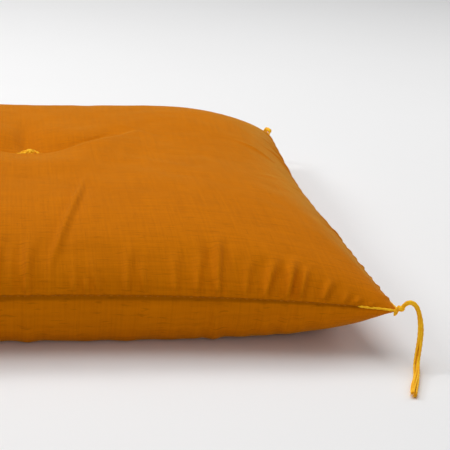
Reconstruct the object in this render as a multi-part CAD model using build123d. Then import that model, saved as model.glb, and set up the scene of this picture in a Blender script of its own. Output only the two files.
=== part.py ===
"""A zabuton: a tufted Japanese floor cushion with a tassel at each corner.

Millimetres, +Z up. The origin is on the floor under the middle of the cushion. X runs along the wide side and
-Y is the front.

Two cotton panels are sewn together round all four sides and stuffed with layered cotton batting: a wrapping
sheet above and below, three core sheets between them, and a wad in each corner. A thread through the middle
ties both faces down with a cross and a knot on each. At each corner a doubled thread is sewn into the seams
on either side of the tip, knotted, and left hanging as a tassel.

Every soft surface is a grid over two parameters, s along X and t along Y, that run from -1 at one seam to 1
at the other.
"""

import math
import os

from build123d import *

# Driving dimensions
WIDTH = 590.0  # corner tip to corner tip along X
DEPTH = 550.0  # corner tip to corner tip along Y
SIDE_PULL = 20.0  # how far the stuffing draws the middle of the left and right sides in
FRONT_PULL = 15.5  # and of the front and back
CORNER_HEIGHT = 40.0  # the seam over the floor at a corner
SIDE_HEIGHT = 48.5  # the seam over the floor at the middle of a side
CROWN = 57.0  # the top's rise over the seam's height, before the tie draws it down
CROWN_SQUARENESS = 1.35  # 1 is a round crown, more is fuller towards the seams
COVER = 1.0  # cloth and the fibres that cling to it
GAP = 1.6  # between soft layers
SEAM_GAP = 0.3  # between the two panels' rims

# The underside rolls under from the seam and meets the floor where fullness reaches UNDERCUT
UNDERCUT = 0.4
ROLL = 1.25  # how far past the floor the roll is drawn, in shares of UNDERCUT, before it is cut flat
ROLL_START = ROLL**2 - (ROLL - 1) ** 2

# What the tie does: depth and spread of the dimple in each face, and of the valleys that cross the top
TOP_DIMPLE, TOP_SPREAD = 5.5, 42.0
VALLEY, VALLEY_SPREAD = 6.0, 82.0
TIE_SQUEEZE, SQUEEZE_SPREAD = 4.0, 95.0  # how much further the batting is drawn down, so that folds have room
BOTTOM_DIMPLE, BOTTOM_SPREAD = 16.0, 38.0
TIE_RADIUS = 1.6
TIE_HOLE = 2.0
CROSS_ARM, CROSS_RADIUS = 20.0, 1.1
TUFT_KNOT_RADIUS, TUFT_KNOT_HEIGHT, TUFT_KNOT_ROUND = 4.2, 6.5, 1.8
TUFT_END, TUFT_END_RADIUS = 9.0, 1.2

# Batting: half-extents in s and t, and the share of the inside height where each sheet starts and ends
WRAP_EXTENT, CORE_EXTENT = 0.82, 0.74
WAD_START, WAD_END = 0.60, 0.70
WRAP_SHARE, WRAP_EDGE_SHARE = 0.24, 0.46
CORE_LEVELS = {
    "batting_core_lower": (0.24, 0.41),
    "batting_core_middle": (0.41, 0.59),
    "batting_core_upper": (0.59, 0.76),
}
WAD_LEVELS = (0.27, 0.73)

# Sewing
SEAM_THREAD_RADIUS, SEAM_THREAD_RUNS = 0.4, 12
THREAD_CLEARANCE = 0.35
SEWN_THREAD_RADIUS = 0.9
SEWN_LENGTH = 29.0  # how far the corner thread is sewn in along each side

# Corner knots and tassels
KNOT_OUT, KNOT_UP = 2.4, 3.0  # from the corner's tip
KNOT_RADIUS, KNOT_CLEARANCE = 2.6, 0.4
TASSEL_DIAMETER = 5.0
RUN_SHARE = 0.45
# A tassel's route from the middle of its knot, as (out along X, out along Y, up): over, down, along the floor
TASSEL_ROUTES = {
    "front_right": [
        (8.5, 4.2, 2.4), (13, 8.5, -3), (14, 12.5, -13), (12.5, 17, -26),
        (9, 26, -36), (4.5, 40, -40), (-2, 57, -40.3), (-10, 80, -40.3),
    ],
    "back_right": [
        (-1, 9, 1), (-3, 15, -4), (-4.5, 19, -13.5), (-6.5, 23, -26),
        (-9, 31, -36), (-13, 44, -40), (-20, 59.5, -40.3), (-30, 78, -40.3),
    ],
    "front_left": [
        (8.5, 2, 1.5), (14, 4.5, -3), (17.5, 7, -13), (21, 10, -26),
        (29, 15, -36), (41, 24, -40), (54, 36.5, -40.3), (68, 54, -40.3),
    ],
    "back_left": [
        (6, 6.5, 1.2), (9, 11, -4.5), (11, 14.5, -14.5), (14, 18.5, -27),
        (19.5, 26, -36.5), (27, 37, -40), (36, 51, -40.3), (48, 68, -40.3),
    ],
}
CORNERS = {"front_right": (1, -1), "back_right": (1, 1), "front_left": (-1, -1), "back_left": (-1, 1)}

GRID_STEP = 1 / 18  # between the points of a fitted surface, in s and t
FIT_TOLERANCE = 0.05


# The soft shape

def spread_of(share):
    """Where a parameter lies across the cushion, from -1 to 1: closer together towards the seams."""
    return math.sin(math.pi / 2 * share)


def fullness(s, t):
    """0 at the seam and 1 in the middle."""
    return math.cos(math.pi / 2 * s) * math.cos(math.pi / 2 * t)


def plan(s, t):
    """The place of a point on the floor plan."""
    u, v = spread_of(s), spread_of(t)
    return u * (WIDTH / 2 - SIDE_PULL * (1 - v * v)), v * (DEPTH / 2 - FRONT_PULL * (1 - u * u))


def seam_height(s, t):
    """The height of the sheet that the seam lies in: it droops at the corners."""
    return SIDE_HEIGHT - (SIDE_HEIGHT - CORNER_HEIGHT) * abs(spread_of(s) * spread_of(t)) ** 3


def dimple(s, t, depth, spread):
    x, y = plan(s, t)
    return depth * math.exp(-(x * x + y * y) / spread**2)


def valleys(s, t):
    """How far the top is drawn down along its two middle lines."""
    x, y = plan(s, t)
    lengthwise = math.exp(-((x / VALLEY_SPREAD) ** 2)) * math.cos(math.pi / 2 * t)
    crosswise = math.exp(-((y / VALLEY_SPREAD) ** 2)) * math.cos(math.pi / 2 * s)
    return VALLEY * (lengthwise + crosswise)


def top_point(s, t):
    """A point on the outside of the top panel."""
    crown = CROWN * (1 - (1 - fullness(s, t)) ** CROWN_SQUARENESS)
    height = seam_height(s, t) + crown - valleys(s, t) - dimple(s, t, TOP_DIMPLE, TOP_SPREAD)
    return Vector(*plan(s, t), height + SEAM_GAP / 2)


def bottom_point(s, t):
    """A point on the outside of the bottom panel, a little below the floor where it will be cut flat."""
    left = max(ROLL - fullness(s, t) / UNDERCUT, 0)
    roll = (left**2 - (ROLL - 1) ** 2) / ROLL_START
    height = seam_height(s, t) * roll + dimple(s, t, BOTTOM_DIMPLE, BOTTOM_SPREAD)
    return Vector(*plan(s, t), height - SEAM_GAP / 2)


def normal_at(surface, s, t):
    """The surface's upward normal, read just inside the corners, where the surface comes to a point."""
    edge, step = 0.97, 0.01
    s, t = max(-edge, min(edge, s)), max(-edge, min(edge, t))
    along_s = surface(s + step, t) - surface(s - step, t)
    along_t = surface(s, t + step) - surface(s, t - step)
    return along_s.cross(along_t).normalized()


def lifted(height, floor):
    """height, eased so that it never goes under floor."""
    over, ease = height - floor, 1.0
    return floor + (over + math.hypot(over, ease)) / 2


def top_inside_point(s, t):
    return top_point(s, t) - normal_at(top_point, s, t) * COVER


def bottom_inside_point(s, t):
    inside = bottom_point(s, t) + normal_at(bottom_point, s, t) * COVER
    return Vector(inside.X, inside.Y, lifted(inside.Z, COVER))


def stuffing_point(s, t, share):
    """A point in the stuffing, share of the way up from the bottom panel to the top one."""
    top, bottom = top_point(s, t), bottom_point(s, t)
    highest = top.Z - (COVER + GAP) / normal_at(top_point, s, t).Z - dimple(s, t, TIE_SQUEEZE, SQUEEZE_SPREAD)
    slope = normal_at(bottom_point, s, t).Z
    lowest = lifted(bottom.Z + COVER / slope, COVER) + GAP / slope
    return Vector(top.X, top.Y, lowest + share * (highest - lowest))


# Solids from surfaces

def steps(low, high):
    """Evenly spaced values from low to high, about GRID_STEP apart."""
    count = max(4, round((high - low) / GRID_STEP))
    return [low + (high - low) * i / count for i in range(count + 1)]


def fitted(surface, s_range, t_range):
    """A face through a grid of the surface's points."""
    points = [[surface(s, t) for t in steps(*t_range)] for s in steps(*s_range)]
    return Face.make_surface_from_array_of_points(points, tol=FIT_TOLERANCE, max_deg=3)


def between(lower, upper, s_range=(-1, 1), t_range=(-1, 1)):
    """The solid between two surfaces over the same range, closed by a wall along each side."""
    floor, roof = fitted(lower, s_range, t_range), fitted(upper, s_range, t_range)
    walls = []
    for edge in floor.edges():
        matching = min(roof.edges(), key=lambda other: (other @ 0.5 - edge @ 0.5).length)
        walls.append(Face.make_surface_from_curves(edge, matching))
    solid = Solid(Shell([floor, roof, *walls]))
    return solid if solid.volume > 0 else Solid(solid.wrapped.Reversed())


def tie_hole():
    return Pos(0, 0, SIDE_HEIGHT) * Cylinder(TIE_HOLE, 4 * SIDE_HEIGHT)


def tube(points, radius):
    """A round tube along straight runs joined by arcs, with the radii of its arcs."""
    radii = []
    for before, here, after in zip(points, points[1:], points[2:]):
        into, out = here - before, after - here
        turn = math.radians(into.get_angle(out))
        radii.append(RUN_SHARE * min(into.length, out.length) / math.tan(turn / 2))
    path = FilletPolyline(*points, radius=radii)
    section = Plane(origin=path @ 0, z_dir=path % 0) * Circle(radius)
    return sweep(section, path=path), path, radii


# Covers

def cover_top():
    return between(top_inside_point, top_point) - tie_hole()


def cover_bottom():
    panel = between(bottom_point, bottom_inside_point) - tie_hole()
    floor_cut = Pos(0, 0, -SIDE_HEIGHT) * Box(2 * WIDTH, 2 * DEPTH, 2 * SIDE_HEIGHT)
    return panel - floor_cut


# Stuffing

def wrap_share(s, t):
    """A wrapping sheet's share of the inside height: it fills out to the middle at the sides."""
    reach = (s**16 + t**16) ** (1 / 16)
    ease = max(0.0, min(1.0, (reach - CORE_EXTENT) / (WRAP_EXTENT - CORE_EXTENT)))
    return WRAP_SHARE + (WRAP_EDGE_SHARE - WRAP_SHARE) * ease * ease * (3 - 2 * ease)


def layer(low_share, high_share, extent):
    """A sheet of batting between two shares of the inside height, which may be functions of s and t."""
    def lower(s, t):
        return stuffing_point(s, t, low_share(s, t)) + Vector(0, 0, GAP / 2)

    def upper(s, t):
        return stuffing_point(s, t, high_share(s, t)) - Vector(0, 0, GAP / 2)

    return between(lower, upper, (-extent, extent), (-extent, extent)) - tie_hole()


def batting_wraps():
    return {
        "batting_wrap_bottom": layer(lambda s, t: 0, wrap_share, WRAP_EXTENT),
        "batting_wrap_top": layer(lambda s, t: 1 - wrap_share(s, t), lambda s, t: 1, WRAP_EXTENT),
    }


def corner_notches():
    """What each core sheet leaves free for the wads."""
    x, y = plan(WAD_START, WAD_START)
    size = WIDTH
    clear = GAP + SIDE_PULL / 4
    return [
        Pos(sx * (x - clear + size / 2), sy * (y - clear + size / 2), SIDE_HEIGHT) * Box(size, size, size)
        for sx, sy in CORNERS.values()
    ]


def batting_cores():
    made = {}
    for name, (low, high) in CORE_LEVELS.items():
        made[name] = layer(lambda s, t: low, lambda s, t: high, CORE_EXTENT) - corner_notches()
    return made


def corner_wads():
    """A small wad in each corner, between the wrapping sheets."""
    made = {}
    low, high = WAD_LEVELS
    for name, (sx, sy) in CORNERS.items():
        s_range = sorted((sx * WAD_START, sx * WAD_END))
        t_range = sorted((sy * WAD_START, sy * WAD_END))
        made[f"batting_wad_{name}"] = between(
            lambda s, t: stuffing_point(s, t, low), lambda s, t: stuffing_point(s, t, high), s_range, t_range
        )
    return made


# Tie through the middle

def rod(start, end, radius):
    """A straight round piece from one point to another."""
    along = end - start
    return Plane(origin=start, z_dir=along) * Cylinder(
        radius, along.length, align=(Align.CENTER, Align.CENTER, Align.MIN)
    )


def cross_and_knot(surface, up):
    """The crossed threads, knot and two cut ends on one face; up is 1 on the top and -1 underneath."""
    lift = Vector(0, 0, up * (CROSS_RADIUS + THREAD_CLEARANCE))
    middle = surface(0, 0) + lift
    knot = surface(0, 0) + Vector(0, 0, up * (TUFT_KNOT_HEIGHT / 2 + THREAD_CLEARANCE))
    arm_share = math.asin(CROSS_ARM / (WIDTH / 2 - SIDE_PULL)) * 2 / math.pi
    barrel = Pos(knot) * Cylinder(TUFT_KNOT_RADIUS, TUFT_KNOT_HEIGHT)
    solid = fillet(barrel.edges().filter_by(GeomType.CIRCLE), TUFT_KNOT_ROUND)
    for s, t in ((arm_share, 0), (-arm_share, 0), (0, arm_share), (0, -arm_share)):
        solid = solid + rod(middle, surface(s, t) + lift, CROSS_RADIUS)
    for side in (-1, 1):
        end = Vector(side, 0.25 * side, up * 0.55).normalized() * TUFT_END
        solid = solid + rod(knot, knot + end, TUFT_END_RADIUS)
    return solid


def tie():
    low, high = bottom_point(0, 0).Z, top_point(0, 0).Z
    thread = Pos(0, 0, low) * Cylinder(TIE_RADIUS, high - low, align=(Align.CENTER, Align.CENTER, Align.MIN))
    top, bottom = cross_and_knot(top_point, 1), cross_and_knot(bottom_point, -1)
    return {"tie_cross_top": top, "tie_cross_bottom": bottom, "tie_thread": thread - top - bottom}


# Seams

def seam_point(side, share):
    """A point on the seam of one side, and the way out of the cushion there."""
    s, t = {"front": (share, -1), "back": (share, 1), "left": (-1, share), "right": (1, share)}[side]
    out = {"front": (0, -1, 0), "back": (0, 1, 0), "left": (-1, 0, 0), "right": (1, 0, 0)}[side]
    return Vector(*plan(s, t), seam_height(s, t)), Vector(*out)


def seam_thread(side):
    """The thread that shows along the seam of one side, from one corner's sewing to the other's."""
    half = (WIDTH if side in ("front", "back") else DEPTH) / 2
    reach = half - SEWN_LENGTH - 2
    points = []
    for i in range(SEAM_THREAD_RUNS + 1):
        place = reach * (2 * i / SEAM_THREAD_RUNS - 1)
        on_seam, out = seam_point(side, math.asin(place / half) * 2 / math.pi)
        points.append(on_seam + out * (SEAM_THREAD_RADIUS + THREAD_CLEARANCE))
    path = Polyline(*points)
    section = Plane(origin=path @ 0, z_dir=path % 0) * Circle(SEAM_THREAD_RADIUS)
    return sweep(section, path=path, transition=Transition.RIGHT)


def seams():
    """Three sewn seams, and the back one closed by hand after stuffing."""
    made = {f"seam_{side}": seam_thread(side) for side in ("front", "left", "right")}
    made["seam_back_closing"] = seam_thread("back")
    return made


# Corners

def knot_place(name):
    sx, sy = CORNERS[name]
    return Vector(sx * (WIDTH / 2 + KNOT_OUT), sy * (DEPTH / 2 + KNOT_OUT), CORNER_HEIGHT + KNOT_UP)


def corner_thread(name):
    """The doubled thread sewn along the seam on both sides of a corner's tip."""
    sx, sy = CORNERS[name]
    away = SEWN_THREAD_RADIUS + 2 * THREAD_CLEARANCE
    arms = []
    sides = ("front" if sy < 0 else "back", WIDTH / 2, sx), ("left" if sx < 0 else "right", DEPTH / 2, sy)
    for side, half, sign in sides:
        place = math.asin(1 - SEWN_LENGTH / half) * 2 / math.pi
        inner, out = seam_point(side, sign * place)
        tip, out = seam_point(side, sign)
        arms.append(rod(inner + out * away, tip + out * away, SEWN_THREAD_RADIUS))
    return Compound([arm.solid() for arm in arms])


def tassel_points(name):
    """The points that a tassel's route turns at, from its knot out."""
    sx, sy = CORNERS[name]
    knot = knot_place(name)
    route = [Vector(sx * x, sy * y, z) for x, y, z in TASSEL_ROUTES[name]]
    start = route[0].normalized() * (KNOT_RADIUS + KNOT_CLEARANCE)
    return [knot + start, *[knot + point for point in route]]


def corners():
    made = {}
    for name in CORNERS:
        made[f"corner_thread_{name}"] = corner_thread(name)
        made[f"knot_{name}"] = Pos(knot_place(name)) * Sphere(KNOT_RADIUS)
        solid, path, radii = tube(tassel_points(name), TASSEL_DIAMETER / 2)
        made[f"tassel_{name}"] = solid
        straight = math.pi * TASSEL_DIAMETER**2 / 4 * path.length
        print(
            f"tassel_{name}: length {path.length:.1f}, volume {solid.volume:.0f} of {straight:.0f}, radii",
            [round(r, 1) for r in radii],
        )
    return made


def main():
    parts = {"cover_top": cover_top(), "cover_bottom": cover_bottom()}
    for group in (batting_wraps(), batting_cores(), corner_wads(), tie(), seams(), corners()):
        parts.update(group)
    os.makedirs("parts", exist_ok=True)
    for name, shape in parts.items():
        export_step(shape, f"parts/{name}.step")


main()
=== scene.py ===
import math

import bpy
import numpy as np
from mathutils import Matrix, Vector as V


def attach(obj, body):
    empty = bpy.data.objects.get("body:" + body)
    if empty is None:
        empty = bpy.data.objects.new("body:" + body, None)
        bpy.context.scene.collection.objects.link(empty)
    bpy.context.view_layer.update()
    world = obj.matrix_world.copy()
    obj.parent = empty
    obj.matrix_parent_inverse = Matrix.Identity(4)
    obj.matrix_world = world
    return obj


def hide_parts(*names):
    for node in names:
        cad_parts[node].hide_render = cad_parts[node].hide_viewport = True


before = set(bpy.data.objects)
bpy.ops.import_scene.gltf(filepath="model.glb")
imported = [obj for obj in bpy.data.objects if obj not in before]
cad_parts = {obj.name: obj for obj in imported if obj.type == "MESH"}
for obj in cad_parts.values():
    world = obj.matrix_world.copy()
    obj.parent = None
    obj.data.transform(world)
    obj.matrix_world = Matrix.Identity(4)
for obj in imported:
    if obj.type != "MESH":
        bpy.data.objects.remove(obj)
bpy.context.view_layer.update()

TURN = 2 * math.pi

# The cushion's plain shape, in metres, as the CAD has it
WIDTH, DEPTH = 0.590, 0.550  # corner to corner along the seam
SIDE_PULL, FRONT_PULL = 0.020, 0.0155  # how far the sides pull in between the corners
CORNER_HEIGHT, SIDE_HEIGHT = 0.040, 0.0485  # of the seam
CROWN, SQUARENESS = 0.057, 1.35
UNDERCUT, ROLL = 0.4, 1.25  # how the bottom panel rolls up from the floor to the seam
TOP_DIMPLE, TOP_SPREAD = 0.0055, 0.042
BOTTOM_DIMPLE, BOTTOM_SPREAD = 0.016, 0.038
VALLEY, VALLEY_SPREAD = 0.006, 0.082  # the cross-shaped dip through the tie
PANEL_CUT = (0.628, 0.588)  # each panel before stuffing

CORNERS = {
    "front_right": (1, -1),
    "back_right": (1, 1),
    "front_left": (-1, -1),
    "back_left": (-1, 1),
}
OUTWARD = {
    "front": np.array([0.0, -1.0, 0.0]),
    "back": np.array([0.0, 1.0, 0.0]),
    "left": np.array([-1.0, 0.0, 0.0]),
    "right": np.array([1.0, 0.0, 0.0]),
}
KNOT_OUT, KNOT_UP = 0.0024, 0.003  # from the seam's corner to its knot

# The tassels' routes from their knots' middles, in mm: out along X, out along Y, up
ROUTES = {
    "front_right": [
        (3.5, 1.8, 7.5), (11, 6, 5.5), (14, 12, -9), (12.5, 17, -26),
        (9, 26, -36), (4.5, 40, -40), (-2, 57, -40.3), (-8.3, 75, -40.3),
    ],
    "back_right": [
        (-1, 9, 1), (-3, 15, -4), (-4.5, 19, -13.5), (-6.5, 23, -26),
        (-9, 31, -36), (-13, 44, -40), (-20, 59.5, -40.3), (-30, 78, -40.3),
    ],
    "front_left": [
        (8.5, 2, 1.5), (14, 4.5, -3), (17.5, 7, -13), (21, 10, -26),
        (29, 15, -36), (41, 24, -40), (54, 36.5, -40.3), (68, 54, -40.3),
    ],
    "back_left": [
        (6, 6.5, 1.2), (9, 11, -4.5), (11, 14.5, -14.5), (14, 18.5, -27),
        (19.5, 26, -36.5), (27, 37, -40), (36, 51, -40.3), (48, 68, -40.3),
    ],
}
FIBRE = 0.00013  # a stray fibre's radius


# ---------------------------------------------------------------- camera

CAMERA_PLACE = (-0.022, -1.1771, 0.4333)
YAW, PITCH, ROLL_ANGLE = math.radians(10.56), math.radians(19.16), math.radians(3.71)
LENS, SENSOR = 99.35, 36


def add_camera():
    forward = V((
        math.sin(YAW) * math.cos(PITCH),
        math.cos(YAW) * math.cos(PITCH),
        -math.sin(PITCH),
    ))
    level = V((math.cos(YAW), -math.sin(YAW), 0))
    upright = level.cross(forward)
    right = math.cos(ROLL_ANGLE) * level + math.sin(ROLL_ANGLE) * upright
    up = math.cos(ROLL_ANGLE) * upright - math.sin(ROLL_ANGLE) * level
    data = bpy.data.cameras.new("camera")
    data.sensor_width, data.lens = SENSOR, LENS
    camera = bpy.data.objects.new("camera", data)
    bpy.context.scene.collection.objects.link(camera)
    axes = Matrix((right, up, -forward)).transposed().to_4x4()
    camera.matrix_world = Matrix.Translation(CAMERA_PLACE) @ axes
    bpy.context.scene.camera = camera


add_camera()


# ---------------------------------------------------------------- materials

class Graph:
    """A new material's node tree, with short names for the nodes that are used here."""

    def __init__(self, name):
        self.material = bpy.data.materials.new(name)
        self.material.use_nodes = True
        self.tree = self.material.node_tree
        self.shader = self.tree.nodes["Principled BSDF"].inputs

    def add(self, kind, **values):
        node = self.tree.nodes.new(kind)
        for key, value in values.items():
            setattr(node, key, value)
        return node

    def link(self, value, socket):
        self.tree.links.new(value, socket)

    def maths(self, operation, *values):
        node = self.add("ShaderNodeMath", operation=operation)
        for socket, value in zip(node.inputs, values):
            if isinstance(value, (int, float)):
                socket.default_value = value
            else:
                self.link(value, socket)
        return node.outputs[0]

    def times(self, value, share):
        return self.maths("MULTIPLY", value, share)

    def blend(self, a, share_a, b, share_b):
        return self.maths("ADD", self.times(a, share_a), self.times(b, share_b))

    def position(self):
        return self.add("ShaderNodeNewGeometry").outputs["Position"]

    def noise(self, place, scale, detail=2.0, rough=0.5):
        mapping = self.add("ShaderNodeMapping")
        mapping.inputs["Scale"].default_value = scale
        self.link(place, mapping.inputs["Vector"])
        node = self.add("ShaderNodeTexNoise")
        node.inputs["Scale"].default_value = 1
        node.inputs["Detail"].default_value = detail
        node.inputs["Roughness"].default_value = rough
        self.link(mapping.outputs[0], node.inputs["Vector"])
        return node.outputs["Fac"]

    def threshold(self, value, low, high):
        node = self.add("ShaderNodeMapRange", interpolation_type="SMOOTHSTEP", clamp=True)
        node.inputs["From Min"].default_value = low
        node.inputs["From Max"].default_value = high
        self.link(value, node.inputs["Value"])
        return node.outputs[0]

    def mix(self, share, a, b):
        node = self.add("ShaderNodeMix", data_type="RGBA")
        share_socket, a_socket, b_socket = node.inputs[0], node.inputs[6], node.inputs[7]
        self.link(share, share_socket)
        for socket, value in ((a_socket, a), (b_socket, b)):
            if isinstance(value, tuple):
                socket.default_value = (*value, 1)
            else:
                self.link(value, socket)
        return node.outputs[2]

    def bump(self, height, strength, distance, normal=None):
        node = self.add("ShaderNodeBump")
        node.inputs["Strength"].default_value = strength
        node.inputs["Distance"].default_value = distance
        self.link(height, node.inputs["Height"])
        if normal is not None:
            self.link(normal, node.inputs["Normal"])
        return node.outputs[0]


THREAD = 0.0005  # one wave of the plain weave
CHECK = 0.008  # between the heavier threads of the cotton
SEAM_SHADE, SEAM_SHADE_SOFT = 0.0016, 0.0010  # the painted shade line beside a seam, standing in for its groove's shadow, and how softly it starts


def darker(colour, share):
    return tuple(c * share for c in colour)


def slub_cotton(name, light, dark):
    """Plain-weave cotton with slubs along both thread directions, on UVs in metres of cloth."""
    g = Graph(name)
    uv = g.add("ShaderNodeUVMap", uv_map="cloth").outputs[0]
    split = g.add("ShaderNodeSeparateXYZ")
    g.link(uv, split.inputs[0])
    u, v = split.outputs[0], split.outputs[1]
    weft = g.maths("SINE", g.times(v, TURN / THREAD))
    warp = g.maths("SINE", g.times(u, TURN / THREAD))
    weave = g.times(weft, warp)
    # slubs: short thick stretches of single threads
    across = g.threshold(g.noise(uv, (62, 980, 1), 1.5), 0.60, 0.70)
    along = g.threshold(g.noise(uv, (980, 62, 1), 1.5), 0.63, 0.72)
    slub = g.maths("MAXIMUM", across, g.times(along, 0.6))
    # uneven threads over longer stretches
    bands = g.blend(g.noise(uv, (16, 460, 1)), 0.55, g.noise(uv, (460, 14, 1)), 0.45)
    cloud = g.noise(uv, (11, 11, 1), 3)
    shade = g.threshold(g.blend(bands, 0.75, cloud, 0.25), 0.28, 0.70)
    colour = g.mix(shade, dark, light)
    # a faint, patchy check of heavier threads
    checks = []
    for coordinate in (u, v):
        wave = g.maths("COSINE", g.times(coordinate, TURN / CHECK))
        checks.append(g.threshold(wave, 0.86, 0.99))
    patchy = g.threshold(g.noise(uv, (40, 40, 1)), 0.42, 0.60)
    check = g.times(g.maths("MAXIMUM", *checks), patchy)
    marks = g.maths("MAXIMUM", g.times(slub, 0.52), g.times(check, 0.11))
    colour = g.mix(marks, colour, darker(dark, 0.66))
    # painted shade: the cloth darker beside the seams, standing in for the shadow in each seam's
    # groove
    seam_shades = []
    for coordinate, cut in ((u, PANEL_CUT[0]), (v, PANEL_CUT[1])):
        seam_shades.append(g.maths("SUBTRACT", g.maths("ABSOLUTE", coordinate), cut / 2 - SEAM_SHADE))
    seam_shade = g.threshold(g.maths("MAXIMUM", *seam_shades), 0.0, SEAM_SHADE_SOFT)
    colour = g.mix(g.times(seam_shade, 0.45), colour, darker(dark, 0.3))
    g.link(colour, g.shader["Base Color"])
    uneven = g.bump(bands, 0.2, 0.0004)
    g.link(g.bump(g.blend(weave, 0.5, slub, 1.2), 0.3, 0.00012, uneven), g.shader["Normal"])
    g.link(g.maths("ADD", g.times(bands, 0.15), 0.66), g.shader["Roughness"])
    g.shader["Sheen Weight"].default_value = 0.30
    g.shader["Sheen Roughness"].default_value = 0.24
    g.shader["Sheen Tint"].default_value = (1.0, 0.90, 0.16, 1)
    g.shader["Specular IOR Level"].default_value = 0.05
    g.shader["Specular Tint"].default_value = (1.0, 0.60, 0.06, 1)
    return g.material


def yarn(name, light, dark):
    """Soft spun yarn: fine fibres along it, lighter and darker stretches."""
    g = Graph(name)
    place = g.position()
    fibres = g.noise(place, (3000, 3000, 3000), 3)
    patches = g.noise(place, (160, 160, 160))
    share = g.threshold(g.blend(fibres, 0.5, patches, 0.5), 0.38, 0.62)
    g.link(g.mix(share, dark, light), g.shader["Base Color"])
    g.link(g.bump(fibres, 0.5, 0.00015), g.shader["Normal"])
    g.shader["Roughness"].default_value = 0.75
    g.shader["Sheen Weight"].default_value = 0.06
    g.shader["Specular IOR Level"].default_value = 0.15
    return g.material


def loose_cotton(name, light, dark, seed_colour):
    """Unbleached batting: pale tufts with specks of seed."""
    g = Graph(name)
    place = g.position()
    tufts = g.noise(place, (60, 60, 60), 6, 0.7)
    seeds = g.threshold(g.noise(place, (420, 420, 420), 1), 0.72, 0.78)
    colour = g.mix(seeds, g.mix(tufts, dark, light), seed_colour)
    g.link(colour, g.shader["Base Color"])
    g.link(g.bump(tufts, 0.8, 0.004), g.shader["Normal"])
    g.shader["Roughness"].default_value = 0.95
    return g.material


ochre = slub_cotton("ochre_slub_cotton", (0.61, 0.172, 0.001), (0.50, 0.135, 0.0006))
yellow = yarn("yellow_tie_yarn", (1.0, 0.58, 0.015), (0.92, 0.42, 0.004))
stitching = yarn("ochre_sewing_thread", (0.62, 0.22, 0.008), (0.34, 0.10, 0.003))
cotton = loose_cotton(
    "cotton_batting", (0.90, 0.88, 0.82), (0.70, 0.66, 0.57), (0.42, 0.33, 0.20)
)


# ---------------------------------------------------------------- pieces

def mesh_object(name, points, faces, material, smooth=True):
    mesh = bpy.data.meshes.new(name)
    mesh.from_pydata([tuple(p) for p in points], [], faces)
    mesh.update()
    if smooth:
        mesh.shade_smooth()
    mesh.materials.append(material)
    piece = bpy.data.objects.new(name, mesh)
    bpy.context.scene.collection.objects.link(piece)
    return piece


def stand_in(piece, body, node):
    """Puts a piece on its body, in the place of the CAD's plain one."""
    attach(piece, body)
    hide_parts(node)


def distances(line):
    """How far along a line each of its points is."""
    return np.concatenate([[0], np.cumsum(np.linalg.norm(np.diff(line, axis=0), axis=1))])


def frames_along(line):
    """Unit tangents and a pair of normals that don't twist, at each point of a line."""
    line = np.asarray(line, float)
    tangent = np.gradient(line, axis=0)
    tangent /= np.linalg.norm(tangent, axis=1)[:, None]
    side = np.cross(tangent[0], (0, 0, 1.0))
    if np.linalg.norm(side) < 0.1:
        side = np.cross(tangent[0], (0, 1.0, 0))
    sides = []
    for t in tangent:
        side = side - t * (side @ t)
        side = side / np.linalg.norm(side)
        sides.append(side)
    sides = np.array(sides)
    return tangent, sides, np.cross(tangent, sides)


def resample(line, step):
    """A line's points at an even step, and how far along it each one is."""
    line = np.asarray(line, float)
    far = distances(line)
    count = max(4, int(far[-1] / step))
    at = np.linspace(0, far[-1], count + 1)
    return np.stack([np.interp(at, far, line[:, k]) for k in range(3)], 1), at


def ply_tube(line, radius, twist, around=10):
    """Points and faces of a two-ply yarn: two lobes that wind round each other once per twist."""
    line, at = resample(line, radius * 0.9)
    _, a, b = frames_along(line)
    points, faces = [], []
    for k in range(len(line)):
        for j in range(around):
            angle = TURN * j / around
            lobe = 0.72 + 0.28 * abs(math.cos(angle - TURN * at[k] / twist / 2))
            spoke = math.cos(angle) * a[k] + math.sin(angle) * b[k]
            points.append(line[k] + radius * lobe * spoke)
    last = (len(line) - 1) * around
    for base in range(0, last, around):
        for j in range(around):
            n = (j + 1) % around
            faces.append((base + j, base + n, base + around + n, base + around + j))
    faces.append(tuple(range(around - 1, -1, -1)))
    faces.append(tuple(last + j for j in range(around)))
    return points, faces


def joined(parts):
    points, faces = [], []
    for p, f in parts:
        base = len(points)
        points.extend(p)
        faces.extend(tuple(i + base for i in face) for face in f)
    return points, faces


def smooth_line(points):
    """A NURBS spline with these control points, as a line of many points."""
    curve = bpy.data.curves.new("route", "CURVE")
    curve.dimensions = "3D"
    spline = curve.splines.new("NURBS")
    spline.points.add(len(points) - 1)
    for place, p in zip(spline.points, points):
        place.co = (*p, 1)
    spline.order_u, spline.use_endpoint_u, spline.resolution_u = 3, True, 24
    holder = bpy.data.objects.new("route", curve)
    bpy.context.scene.collection.objects.link(holder)
    bpy.context.view_layer.update()
    mesh = bpy.data.meshes.new_from_object(holder)
    line = np.array([v.co[:] for v in mesh.vertices])
    bpy.data.objects.remove(holder)
    bpy.data.meshes.remove(mesh)
    bpy.data.curves.remove(curve)
    return line


# ---------------------------------------------------------------- tassels

STRAND, STRAND_TWIST = 0.00086, 0.0042  # one yarn's radius and twist
STRAND_OUT = 0.0018  # from the bundle's middle to an outer yarn's
# How wide the bundle is gathered, from the knot to the cut end
GATHER_AT, GATHER = [0, 0.05, 0.2, 0.45, 0.75, 1.0], [0.5, 0.6, 0.8, 1.15, 1.1, 1.3]


def knot_place(name):
    sx, sy = CORNERS[name]
    return V((
        sx * (WIDTH / 2 + KNOT_OUT),
        sy * (DEPTH / 2 + KNOT_OUT),
        CORNER_HEIGHT + KNOT_UP,
    ))


def above_floor(line, lowest):
    line[:, 2] = np.maximum(line[:, 2], lowest)
    return line


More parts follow.
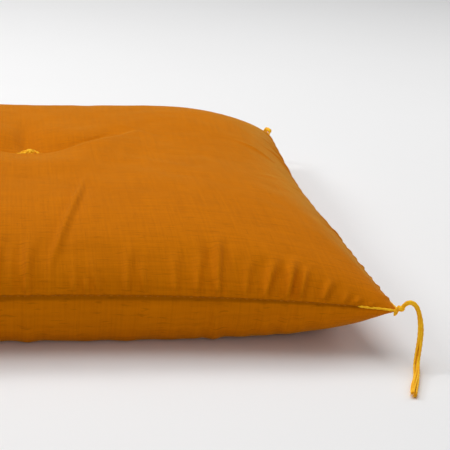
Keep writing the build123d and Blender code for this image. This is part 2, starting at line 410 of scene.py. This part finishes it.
def tassel(name, seed):
    """A bundle of two-ply yarns along the route, gathered at the knot and loose at the cut end."""
    rng = np.random.default_rng(seed)
    sx, sy = CORNERS[name]
    knot = knot_place(name)
    route = [V((sx * x, sy * y, z)) / 1000 for x, y, z in ROUTES[name]]
    start = route[0].normalized() * 0.0008
    line = smooth_line([knot + start, *[knot + p for p in route]])
    line, at = resample(line, 0.0008)
    share = at / at[-1]
    tangent, a, b = frames_along(line)
    gather = np.interp(share, GATHER_AT, GATHER)
    # one yarn in the middle and seven round it, each as (how far out, at what angle)
    places = [(0.0003, 0.4)]
    places += [(STRAND_OUT, k * TURN / 7 + rng.uniform(-0.25, 0.25)) for k in range(7)]
    parts = []
    for out, angle in places:
        drift = rng.uniform(-0.5, 0.5) * share
        drift += 0.35 * np.sin(TURN * (share * rng.uniform(0.8, 1.8) + rng.uniform()))
        wander = 1 + 0.22 * np.sin(TURN * (share * rng.uniform(1.5, 3) + rng.uniform()))
        turn = angle + 1.6 * share + drift
        reach = out * gather * wander
        strand = line + (reach * np.cos(turn))[:, None] * a
        strand = above_floor(strand + (reach * np.sin(turn))[:, None] * b, 0.0009)
        cut = int(len(strand) * (1 - rng.uniform(0, 0.035)))
        parts.append(ply_tube(strand[:max(cut, 8)], STRAND, STRAND_TWIST))
        # fibres that stand out of the cut end
        tip, way = strand[cut - 1], tangent[cut - 1]
        for _ in range(7):
            stray = way * rng.uniform(0.6, 1.0)
            stray = stray + a[-1] * rng.uniform(-0.7, 0.7) + b[-1] * rng.uniform(-0.4, 0.7)
            stray /= np.linalg.norm(stray)
            far = rng.uniform(0.0015, 0.0038)
            hair = np.array([tip - way * 0.0012, tip, tip + stray * far / 2, tip + stray * far])
            parts.append(ply_tube(above_floor(hair, 0.0003), FIBRE, 0.02, around=4))
    piece = mesh_object(f"yarn_tassel_{name}", *joined(parts), yellow)
    stand_in(piece, f"tassel_{name}", f"tassel_{name}")


for index, name in enumerate(CORNERS):
    tassel(name, 11 + index)


# ---------------------------------------------------------------- the cover

FINE_GRID, FINE_ROWS = (290, 272), 9  # faces across each finished panel, and rows at its edges
FIRST_ROW, LAST_ROW = 0.0006, 0.0019  # the widths those rows grow between
SIM_GRID, SIM_FRAMES = (112, 104), 45


def bell(x):
    return np.exp(-x * x)


def ridge(x):
    """A fold's section: a rounded crest with a shallow valley each side."""
    return (1 - 0.9 * x * x) * np.exp(-0.5 * x * x)


def smoothstep(x, low, high):
    x = np.clip((x - low) / (high - low), 0, 1)
    return x * x * (3 - 2 * x)


def across_shares(count, cut, fine_rows=0):
    """Places across a panel from 0 to 1, evenly spaced but with closer rows along both seams."""
    if not fine_rows:
        return np.linspace(0, 1, count + 1)
    near = np.cumsum(np.linspace(FIRST_ROW, LAST_ROW, fine_rows)) / cut
    middle = np.linspace(near[-1], 1 - near[-1], count + 1)[1:-1]
    return np.concatenate([[0], near, middle, 1 - near[::-1], [1]])


def steps_at(half, height, shares):
    """Values of s from -1 to 1 for places along the crowned cloth."""
    theta = np.linspace(0, math.pi / 2, 4001)
    speed = np.hypot(half * np.cos(theta), height * np.sin(theta))
    far = np.concatenate([[0], np.cumsum((speed[1:] + speed[:-1]) / 2 * np.diff(theta))])
    share = 2 * shares - 1
    return np.sign(share) * np.interp(abs(share) * far[-1], far, theta) / (math.pi / 2)


def grids(across, along):
    s, t = steps_at(WIDTH / 2, CROWN, across), steps_at(DEPTH / 2, CROWN, along)
    return np.meshgrid(s, t, indexing="ij")


def plain_panel(s, t, top):
    """The CAD's surface of one panel."""
    x_share, y_share = np.sin(np.pi / 2 * s), np.sin(np.pi / 2 * t)
    x = x_share * (WIDTH / 2 - SIDE_PULL * (1 - y_share**2))
    y = y_share * (DEPTH / 2 - FRONT_PULL * (1 - x_share**2))
    seam = SIDE_HEIGHT - (SIDE_HEIGHT - CORNER_HEIGHT) * abs(x_share * y_share) ** 3
    full = np.cos(np.pi / 2 * s) * np.cos(np.pi / 2 * t)
    r2 = x * x + y * y
    if top:
        crown = CROWN * (1 - (1 - full) ** SQUARENESS)
        lengthwise = bell(x / VALLEY_SPREAD) * np.cos(np.pi / 2 * t)
        crosswise = bell(y / VALLEY_SPREAD) * np.cos(np.pi / 2 * s)
        z = seam + crown - VALLEY * (lengthwise + crosswise)
        z -= TOP_DIMPLE * np.exp(-r2 / TOP_SPREAD**2)
    else:
        left = np.maximum(ROLL - full / UNDERCUT, 0)
        flat = (ROLL - 1) ** 2
        z = np.maximum(seam * (left**2 - flat) / (ROLL**2 - flat), 0)
        z = z + BOTTOM_DIMPLE * np.exp(-r2 / BOTTOM_SPREAD**2)
    return np.stack([x, y, z], -1)


def blurred(field, passes):
    """A field over the grid, smoothed, with its edge values repeated outward."""
    for _ in range(passes):
        for axis in (0, 1):
            ends = field.take([0], axis), field.take([-1], axis)
            padded = np.concatenate([ends[0], field, ends[1]], axis)
            n = field.shape[axis]
            beside = padded.take(range(n), axis), padded.take(range(2, n + 2), axis)
            field = 0.25 * beside[0] + 0.5 * field + 0.25 * beside[1]
    return field


def resized(field, places):
    """A field over an even grid, read at other places across it by Catmull-Rom splines."""
    for axis, new in enumerate(places):
        last = field.shape[axis] - 1
        old = np.linspace(0, 1, last + 1)
        low = np.clip(np.searchsorted(old, new, side="right") - 1, 0, last - 1)
        w = (new - old[low]) / (old[1] - old[0])
        w = w.reshape([-1 if a == axis else 1 for a in range(field.ndim)])
        p, q, r, s = [field.take(np.clip(low + k, 0, last), axis) for k in (-1, 0, 1, 2)]
        cubic = 3 * (q - r) + s - p
        field = q + 0.5 * w * (r - p + w * (2 * p - 5 * q + 4 * r - s + w * cubic))
    return field


def normals_of(points):
    a, b = np.gradient(points, axis=0), np.gradient(points, axis=1)
    n = np.cross(a, b)
    return n / np.maximum(np.linalg.norm(n, axis=2), 1e-12)[..., None]


def sewn_sheets(shape):
    """Point numbers of two grids that share their edge points: the top sheet's, the bottom's."""
    upper = np.arange(shape[0] * shape[1]).reshape(shape)
    inside = np.zeros(shape, bool)
    inside[1:-1, 1:-1] = True
    lower = np.where(inside, 0, upper)
    lower[inside] = upper.size + np.arange(inside.sum())
    return upper, lower, inside


def tie_points(sheets):
    """The points of both sheets that the tie holds: three arms out from the middle."""
    held = set()
    for sheet, numbers in sheets:
        for angle in (90, 210, 330):
            for r in (0, 0.006, 0.012, 0.018):
                x, y = r * math.cos(math.radians(angle)), r * math.sin(math.radians(angle))
                nearest = ((sheet[..., 0] - x) ** 2 + (sheet[..., 1] - y) ** 2).argmin()
                held.add(int(numbers.ravel()[nearest]))
    return sorted(held)


def stuffed_cover(nx, ny, frames):
    """Simulates the two panels, sewn together at their edges and blown up by the batting.

    Returns how far each panel's points end from the plain shape.
    """
    s, t = grids(across_shares(nx, PANEL_CUT[0]), across_shares(ny, PANEL_CUT[1]))
    top, bottom = plain_panel(s, t, True), plain_panel(s, t, False)
    u, v = np.meshgrid(np.linspace(-1, 1, nx + 1), np.linspace(-1, 1, ny + 1), indexing="ij")
    flat = np.stack([u * PANEL_CUT[0] / 2, v * PANEL_CUT[1] / 2, 0 * u + 0.05], -1)
    upper, lower, inside = sewn_sheets(s.shape)
    points = np.concatenate([top.reshape(-1, 3), bottom[inside]])
    points[:, 2] += np.random.default_rng(3).normal(0, 0.0003, len(points))
    rest = np.concatenate([flat.reshape(-1, 3), flat[inside]])
    faces = []
    for i in range(nx):
        for j in range(ny):
            for sheet, corners in (
                (upper, ((i, j), (i + 1, j), (i + 1, j + 1), (i, j + 1))),
                (lower, ((i, j), (i, j + 1), (i + 1, j + 1), (i + 1, j))),
            ):
                faces.append(tuple(int(sheet[corner]) for corner in corners))
    mesh = bpy.data.meshes.new("stuffing_sim")
    mesh.from_pydata(points.tolist(), [], faces)
    bag = bpy.data.objects.new("stuffing_sim", mesh)
    scene = bpy.context.scene
    scene.collection.objects.link(bag)
    bag.shape_key_add(name="Basis")
    cut = bag.shape_key_add(name="cut")
    cut.data.foreach_set("co", rest.ravel())
    cut.value = 0
    tied = bag.vertex_groups.new(name="tied")
    tied.add(tie_points(((top, upper), (bottom, lower))), 1, "REPLACE")
    cloth = bag.modifiers.new("cloth", "CLOTH")
    settings = cloth.settings
    settings.quality, settings.mass, settings.air_damping = 6, 0.0003, 1
    settings.tension_stiffness, settings.compression_stiffness = 20, 8
    settings.shear_stiffness, settings.bending_stiffness = 3, 0.4
    settings.bending_damping = 0.5
    settings.vertex_group_mass = "tied"
    settings.rest_shape_key = cut
    settings.use_pressure, settings.uniform_pressure_force = True, 0.35
    cloth.collision_settings.distance_min = 0.0015
    corners = [(-1, -1, -0.0015), (1, -1, -0.0015), (1, 1, -0.0015), (-1, 1, -0.0015)]
    ground = mesh_object("sim_floor", corners, [(0, 1, 2, 3)], cotton)
    ground.modifiers.new("collision", "COLLISION")
    ground.collision.thickness_outer = 0.001
    ground.collision.cloth_friction = 20
    scene.frame_start, scene.frame_end = 1, frames
    cloth.point_cache.frame_start, cloth.point_cache.frame_end = 1, frames
    for frame_number in range(1, frames + 1):
        scene.frame_set(frame_number)
    settled = np.empty(len(points) * 3)
    result = bag.evaluated_get(bpy.context.evaluated_depsgraph_get()).data
    result.vertices.foreach_get("co", settled)
    settled = settled.reshape(-1, 3)
    scene.frame_set(1)
    for thing in (bag, ground):
        bpy.data.objects.remove(thing)
    return settled[upper] - top, settled[lower] - bottom


def wrinkles_of(drift):
    """The wrinkles in a simulated panel's drift; its overall shape goes back to the plain one."""
    fine = np.clip(blurred(drift, 2) - blurred(drift, 70), -0.004, 0.004)
    fades = []
    for count in drift.shape[:2]:
        fades.append(smoothstep(1 - abs(np.linspace(-1, 1, count)), 0.0, 0.06))
    return fine * (fades[0][:, None] * fades[1][None, :])[..., None]


# Folds above the front seam, in mm: where along X, half-width, how far up the cloth, height,
# and lean per mm up
FRONT_FOLDS = [
    (-6, 6.5, 60, 2.4, 0.02), (31, 5.0, 38, 1.3, 0.05), (41, 4.2, 24, 1.1, -0.05),
    (52, 5.0, 40, 1.6, -0.25), (73, 6.0, 48, 1.7, 0.05), (88, 5.0, 38, 1.5, -0.12),
    (112, 5.5, 44, 1.5, 0.02), (129, 5.5, 44, 1.8, 0.10), (146, 5.0, 68, 2.6, 0.08),
    (168, 5.0, 40, 1.5, 0.18), (184, 5.0, 44, 2.1, 0.30), (202, 5.0, 48, 2.6, 0.26),
    (213, 4.4, 40, 2.3, 0.24), (231, 4.6, 30, 1.9, 0.42), (249, 3.8, 17, 1.4, 0.30),
    (260, 3.4, 14, 1.1, 0.25), (272, 3.2, 10, 0.9, 0.2),
]
FOLD_GAIN = 2.1


def side_folds(seed, half):
    """Folds for a side that isn't seen: the same kind, scattered."""
    rng = np.random.default_rng(seed)
    made, x = [], -half + 18
    while x < half - 14:
        half_width = rng.uniform(3.2, 5.6)
        far = (12 + 46 * rng.random() ** 1.4) * (1.35 - abs(x) / half)
        height = rng.uniform(0.5, 1.5)
        lean = rng.uniform(-0.15, 0.15) + 0.3 * x / half
        made.append((x, half_width, far, height, lean))
        x += rng.uniform(11, 22)
    return made


def fold_field(along, deep, folds, softness, gain):
    """The height in metres of a row of folds.

    along and deep say how far each point is along its side and in from its seam, in mm.
    """
    field = np.zeros_like(along)
    for place, half_width, far, height, lean in folds:
        width = half_width * softness * (0.40 + 0.65 * np.clip(deep / far, 0, 1))
        rise = smoothstep(deep, -1, 5) * (1 - smoothstep(deep, 0.25 * far, 1.1 * far))
        section = ridge((along - place - lean * deep) / width)
        field += FOLD_GAIN * gain * height / 1000 * section * rise
    return field


def beside_line(x, y, line):
    """How far each point is from a bent line in mm, positive on its left, and how far along it."""
    line = np.asarray(line, float) / 1000
    far = distances(line)
    best = np.full(x.shape, 1e9)
    share, side = np.zeros_like(x), np.zeros_like(x)
    for k, (p, q) in enumerate(zip(line, line[1:])):
        d = q - p
        length = np.linalg.norm(d)
        w = np.clip(((x - p[0]) * d[0] + (y - p[1]) * d[1]) / length**2, 0, 1)
        dx, dy = x - p[0] - w * d[0], y - p[1] - w * d[1]
        away = np.hypot(dx, dy)
        closer = away < best
        best = np.where(closer, away, best)
        share = np.where(closer, (far[k] + w * length) / far[-1], share)
        side = np.where(closer, d[0] * dy - d[1] * dx, side)
    return np.copysign(best, side) * 1000, share


# Lines across the top panel, in mm from its middle
LONG_CREASE = [(52, -88), (45, -112), (37, -155), (28, -192), (19, -226), (13, -246), (10, -263)]
LOBE = [
    (-116, 50), (-88, 28), (-60, 4), (-34, -8), (-16, -11), (0, -12),
    (14, -10), (30, -4), (46, 4), (62, 15), (88, 42), (110, 66),
]
HOLLOW_WRINKLES = [
    [(34, 18), (62, 32), (86, 58)],
    [(42, 11), (70, 25), (98, 56)],
    [(-38, 10), (-60, 18), (-84, 38)],
]
BACK_VALLEY = [(0, 6), (-3, 30), (-3, 62), (-2, 116)]
CORNER_FOLD = [(210, 62), (234, 47), (252, 30)]
CORNER_FOLD_SIZES = {
    "back_right": 1.0,
    "back_left": 0.8,
    "front_right": 0.35,
    "front_left": 0.6,
}


def creases(x, y):
    """Folds across the top panel, in mm up."""
    # the long crease that runs from the crown down the front to the seam
    off, share = beside_line(x, y, LONG_CREASE)
    size = smoothstep(share, 0.0, 0.35) * (1 - 0.5 * smoothstep(share, 0.75, 1.0))
    field = size * (3.0 * bell(off / 2.8) - 0.6 * bell((off + 5) / 4.5) - 0.6 * bell((off - 5) / 5))
    # the lobe in front of the tie, which rolls over the hollow behind it
    off, share = beside_line(x, y, LOBE)
    reach = bell(off / np.where(off < 0, 40, 24)) * np.sin(math.pi * share) ** 0.6
    field -= 5.2 * np.tanh(off / 4) * reach
    # the cloth gathered up under the knot, and the swell round the hollow, open to the back
    r, turn = np.hypot(x, y) * 1000, np.arctan2(x, y)
    field += 4.2 * bell(r / 17)
    field += 4.5 * bell((r - 62) / 30) * (1 - 0.9 * bell(turn / 0.35))
    # fine wrinkles in the hollow
    for line in HOLLOW_WRINKLES:
        off, share = beside_line(x, y, line)
        field -= 1.4 * bell(off / 2) * np.sin(math.pi * share)
    # the valley that the tie pulls to the back
    off, share = beside_line(x, y, BACK_VALLEY)
    field -= 4.0 * bell(off / 8) * (1 - smoothstep(share, 0.3, 1.0))
    # fuller shoulders between the tie's valleys, more so at the back
    shoulders = bell((abs(x) - 0.195) / 0.072) * bell((abs(y) - 0.165) / 0.085)
    field += 7.0 * shoulders * np.where(y > 0, 1.0, 0.35)
    # the soft fold beside each corner
    for name, size in CORNER_FOLD_SIZES.items():
        sx, sy = CORNERS[name]
        off, share = beside_line(sx * x, sy * y, CORNER_FOLD)
        field += 1.6 * size * bell(off / 4) * np.sin(math.pi * share)
    return field


def panel_mesh(name, points, uv, top):
    index = np.arange(len(uv)).reshape(points.shape[:2])
    a, b, c, d = index[:-1, :-1], index[1:, :-1], index[1:, 1:], index[:-1, 1:]
    quads = np.stack([a, b, c, d] if top else [a, d, c, b], -1).reshape(-1, 4)
    mesh = bpy.data.meshes.new(name)
    mesh.vertices.add(len(uv))
    mesh.vertices.foreach_set("co", points.astype(np.float32).ravel())
    mesh.loops.add(quads.size)
    mesh.loops.foreach_set("vertex_index", quads.astype(np.int32).ravel())
    mesh.polygons.add(len(quads))
    mesh.polygons.foreach_set("loop_start", np.arange(0, quads.size, 4, dtype=np.int32))
    mesh.update(calc_edges=True)
    layer = mesh.uv_layers.new(name="cloth")
    layer.data.foreach_set("uv", uv[quads.ravel()].astype(np.float32).ravel())
    mesh.shade_smooth()
    mesh.materials.append(ochre)
    return mesh


def panel(name, node, top, wrinkles):
    """One panel of the finished cover, and where its points are.

    It is the plain shape with the simulated wrinkles, the folds and the groove at the seam.
    """
    across = across_shares(FINE_GRID[0], PANEL_CUT[0], FINE_ROWS)
    along = across_shares(FINE_GRID[1], PANEL_CUT[1], FINE_ROWS)
    points = plain_panel(*grids(across, along), top)
    out = normals_of(points) * (1 if top else -1)
    x_mm, y_mm = points[..., 0] * 1000, points[..., 1] * 1000
    u, v = np.meshgrid(across, along, indexing="ij")
    # how far in from each seam, along the cloth, in mm
    from_left, from_right = u * PANEL_CUT[0] * 1000, (1 - u) * PANEL_CUT[0] * 1000
    from_front, from_back = v * PANEL_CUT[1] * 1000, (1 - v) * PANEL_CUT[1] * 1000
    from_side, from_end = np.minimum(from_left, from_right), np.minimum(from_front, from_back)
    # the bottom panel's folds are wider and lower, and so are those at the sides
    softness, gain = (1.0, 1.0) if top else (1.7, 0.32)
    half_x, half_y = WIDTH * 500, DEPTH * 500
    front = FRONT_FOLDS + [fold for fold in side_folds(5, half_x) if fold[0] < -14]
    height = np.zeros(u.shape)
    if wrinkles is not None:
        height += (resized(wrinkles, (across, along)) * out).sum(2)
    for deep, place, folds, share in (
        (from_front, x_mm, front, 1),
        (from_back, x_mm, side_folds(6, half_x), 0.55),
        (from_left, y_mm, side_folds(7, half_y), 0.55),
        (from_right, y_mm, side_folds(8, half_y), 0.55),
    ):
        height += fold_field(place, deep, folds, softness, gain * share)
    if top:
        height += creases(points[..., 0], points[..., 1]) / 1000
    # the batting fills the cover, so the cloth only sinks as far as there is room
    room = 0.0019 + (0.0038 * bell(np.hypot(x_mm, y_mm) / 95) if top else 0)
    height = np.where(height < 0, -room * np.tanh(-height / room), height)
    groove = 0.0004 + 0.0010 * smoothstep(np.hypot(from_side, from_end), 4, 26)
    height -= groove * bell(np.minimum(from_side, from_end) / 1.1)
    points = points + height[..., None] * out
    points[..., 2] = np.maximum(points[..., 2], 0.0)
    uv = np.stack([(u - 0.5) * PANEL_CUT[0], (v - 0.5) * PANEL_CUT[1]], -1).reshape(-1, 2)
    mesh = panel_mesh(name, points, uv if top else uv * (-1, 1), top)
    piece = bpy.data.objects.new(name, mesh)
    bpy.context.scene.collection.objects.link(piece)
    stand_in(piece, "cushion", node)
    return points


wrinkles = (None, None)
wrinkles = [wrinkles_of(drift) for drift in stuffed_cover(*SIM_GRID, SIM_FRAMES)]
top_points = panel("cushion_top_panel", "cover_top", True, wrinkles[0])
bottom_points = panel("cushion_bottom_panel", "cover_bottom", False, wrinkles[1])


# ---------------------------------------------------------------- sewing

END_CLEAR = 0.031  # from each corner to the first stitch
COTTON_YARN, COTTON_TWIST = 0.00105, 0.005  # the yellow thread's radius and twist

seam_grid = (top_points + bottom_points) / 2
SEAMS = {
    "front": seam_grid[:, 0],
    "back": seam_grid[:, -1],
    "left": seam_grid[0],
    "right": seam_grid[-1],
}


def stitch_row(side, node, pitch, length, seed):
    """Short bits of thread that bridge the seam's groove, each a little off the last."""
    rng = np.random.default_rng(seed)
    line, at = resample(SEAMS[side], 0.0005)
    out = OUTWARD[side]
    parts = []
    place = END_CLEAR
    while place < at[-1] - END_CLEAR:
        span = length * rng.uniform(0.75, 1.2)
        first, last = np.searchsorted(at, (place, place + span))
        tilt = rng.uniform(-0.00025, 0.00025)
        p, q = line[first].copy(), line[min(last, len(line) - 1)].copy()
        p[2] += tilt
        q[2] -= tilt
        stitch = np.array([p - out * 0.0002, (p + q) / 2 + out * 0.0005, q - out * 0.0002])
        parts.append(ply_tube(stitch, 0.00026, 0.002, around=6))
        place += pitch * rng.uniform(0.9, 1.15)
    piece = mesh_object(f"stitches_{side}", *joined(parts), stitching)
    stand_in(piece, "cushion", node)


stitch_row("front", "seam_front", 0.0052, 0.0030, 21)
stitch_row("left", "seam_left", 0.0052, 0.0030, 22)
stitch_row("right", "seam_right", 0.0052, 0.0030, 23)
stitch_row("back", "seam_back_closing", 0.0085, 0.0052, 24)


def ring(centre, size, count, turn):
    """A closed loop of points round a centre, a little bent out of its plane, turned."""
    points = []
    for a in np.linspace(0, TURN, count):
        place = V((size[0] * math.cos(a), size[1] * math.sin(a), size[2] * math.sin(2 * a)))
        points.append(tuple(centre + turn @ place))
    return np.array(points)


def corner_sewing(name):
    """The doubled yellow thread along both seams of a corner, and its loop round the tip."""
    sx, sy = CORNERS[name]
    parts = []
    for side in ("front" if sy < 0 else "back", "left" if sx < 0 else "right"):
        line, _ = resample(SEAMS[side], 0.001)
        ends_here = (sx if side in ("front", "back") else sy) > 0
        line = line[-34:] if ends_here else line[:34][::-1]
        line = line + OUTWARD[side] * 0.0011
        line[:, 2] += 0.0003
        line[0] -= OUTWARD[side] * 0.0016
        line = np.concatenate([line[::3], line[-1:]])
        parts.append(ply_tube(line, COTTON_YARN, COTTON_TWIST))
    out, across = V((sx, sy, 0)).normalized(), V((-sy, sx, 0)).normalized()
    centre = V((sx * WIDTH / 2, sy * DEPTH / 2, CORNER_HEIGHT)) - out * 0.0008
    loop = []
    for a in np.linspace(0, TURN, 25):
        rise = V((0, 0, 0.0042)) + out * 0.0012
        loop.append(tuple(centre + across * 0.0026 * math.cos(a) + rise * math.sin(a)))
    parts.append(ply_tube(np.array(loop), 0.0010, COTTON_TWIST))
    piece = mesh_object(f"corner_yarn_{name}", *joined(parts), yellow)
    stand_in(piece, "cushion", f"corner_thread_{name}")


def corner_knot(name, seed):
    """Four turns of yarn, each tipped further over."""
    rng = np.random.default_rng(seed)
    parts = []
    for k in range(4):
        spin = Matrix.Rotation(rng.uniform(0, math.pi), 4, "Z")
        turn = spin @ Matrix.Rotation(0.5 + 0.9 * k, 4, "X")
        loop = ring(knot_place(name), (0.0019, 0.0017, 0.0005), 21, turn)
        parts.append(ply_tube(loop, COTTON_YARN, COTTON_TWIST))
    piece = mesh_object(f"yarn_knot_{name}", *joined(parts), yellow)
    stand_in(piece, f"knot_{name}", f"knot_{name}")


for index, name in enumerate(CORNERS):
    corner_sewing(name)
    corner_knot(name, 31 + index)


# ---------------------------------------------------------------- the tie

ARM = 0.019  # the length of a thread from the knot to where it goes in
TOP_ARMS, BOTTOM_ARMS = (75, 195, 325), (0, 90, 180, 270)  # their directions, in degrees
# The cut ends: direction in degrees, length, how high they arch
CUT_ENDS = [
    (8, 0.0095, 0.0022), (-14, 0.0085, 0.0030), (176, 0.0115, 0.0010), (164, 0.0090, 0.0030),
    (190, 0.0100, 0.0018), (30, 0.0070, 0.0044), (-150, 0.0080, 0.0024),
]


def height_at(points, x, y):
    d = (points[..., 0] - x) ** 2 + (points[..., 1] - y) ** 2
    return float(points[..., 2].ravel()[d.argmin()])


def tuft(node, points, up, seed):
    """The tie's yarn on one face: arms that sink into the cloth, a knot, and short cut ends."""
    rng = np.random.default_rng(seed)
    parts = []
    for angle in TOP_ARMS if up > 0 else BOTTOM_ARMS:
        c, s = math.cos(math.radians(angle)), math.sin(math.radians(angle))
        arm = []
        for r in np.linspace(0, ARM, 10):
            lift = 0.0012 - 0.0022 * smoothstep(r, 0.013, ARM)
            arm.append((c * r, s * r, height_at(points, c * r, s * r) + up * lift))
        parts.append(ply_tube(np.array(arm), 0.0009, COTTON_TWIST))
    knot = V((0, 0, height_at(points, 0, 0) + up * 0.0054))
    for k in range(7):
        spin = Matrix.Rotation(k * 0.9 + 0.3, 4, "Z")
        turn = spin @ Matrix.Rotation(up * (0.25 + 0.24 * k), 4, "X")
        loop = ring(knot, (0.0042, 0.0030, 0.0006), 25, turn)
        parts.append(ply_tube(loop, 0.0012, COTTON_TWIST))
    for angle, far, rise in CUT_ENDS:
        c, s = math.cos(math.radians(angle)), math.sin(math.radians(angle))
        end = [(0.002 * c, 0.002 * s, knot.z)]
        for w in (0.4, 0.75, 1.0):
            x, y = c * far * w, s * far * w + rng.uniform(-0.0008, 0.0008)
            z = knot.z * (1 - w) + (height_at(points, x, y) + up * 0.0022) * w
            end.append((x, y, z + up * rise * math.sin(math.pi * w * 0.8)))
        parts.append(ply_tube(np.array(end), COTTON_YARN, 0.0045))
        for _ in range(4):
            tip = np.array(end[-1])
            way = np.array([c, s, up * 0.2]) + rng.uniform(-0.5, 0.5, 3)
            hair = np.array([tip, tip + way * 0.0008, tip + way * 0.0018])
            parts.append(ply_tube(hair, 0.00014, 0.02, around=4))
    piece = mesh_object(f"yarn_{node}", *joined(parts), yellow)
    stand_in(piece, "cushion", node)


tuft("tie_cross_top", top_points, 1, 41)
tuft("tie_cross_bottom", bottom_points, -1, 42)


# ---------------------------------------------------------------- what is inside

for node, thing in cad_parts.items():
    inner = cotton if node.startswith("batting") else yellow if node == "tie_thread" else None
    if inner is not None:
        thing.data.materials.clear()
        thing.data.materials.append(inner)


# ---------------------------------------------------------------- floor and light

def add_floor():
    g = Graph("pale_floor")
    grain = g.noise(g.position(), (3, 3, 3), 4)
    colour = g.mix(grain, (0.855, 0.848, 0.845), (0.875, 0.87, 0.868))
    g.link(colour, g.shader["Base Color"])
    g.shader["Roughness"].default_value = 0.6
    corners = [(-6, -5, 0), (6, -5, 0), (6, 9, 0), (-6, 9, 0)]
    mesh_object("floor", corners, [(0, 1, 2, 3)], g.material, smooth=False)


def area_light(name, place, target, size, power):
    data = bpy.data.lights.new(name, "AREA")
    data.size, data.energy = size, power
    lamp = bpy.data.objects.new(name, data)
    bpy.context.scene.collection.objects.link(lamp)
    lamp.location = place
    lamp.rotation_euler = (V(target) - V(place)).to_track_quat("-Z", "Y").to_euler()


add_floor()
area_light("softbox", (-0.2, 0.6, 2.2), (0.0, 0.1, 0.0), 2.2, 42)
area_light("key", (-1.7, 0.9, 1.5), (0.05, 0.0, 0.03), 0.6, 18)
area_light("front_fill", (0.3, -2.0, 0.5), (0.0, -0.35, 0.0), 1.4, 6.5)
area_light("side", (1.9, 0.9, 1.1), (0.1, 0, 0.03), 1.0, 6)
world = bpy.data.worlds.new("studio")
world.use_nodes = True
sky = world.node_tree.nodes["Background"].inputs
sky["Color"].default_value = (0.96, 0.98, 1.0, 1)
sky["Strength"].default_value = 0.24
bpy.context.scene.world = world
bpy.context.scene.view_settings.view_transform = "Standard"
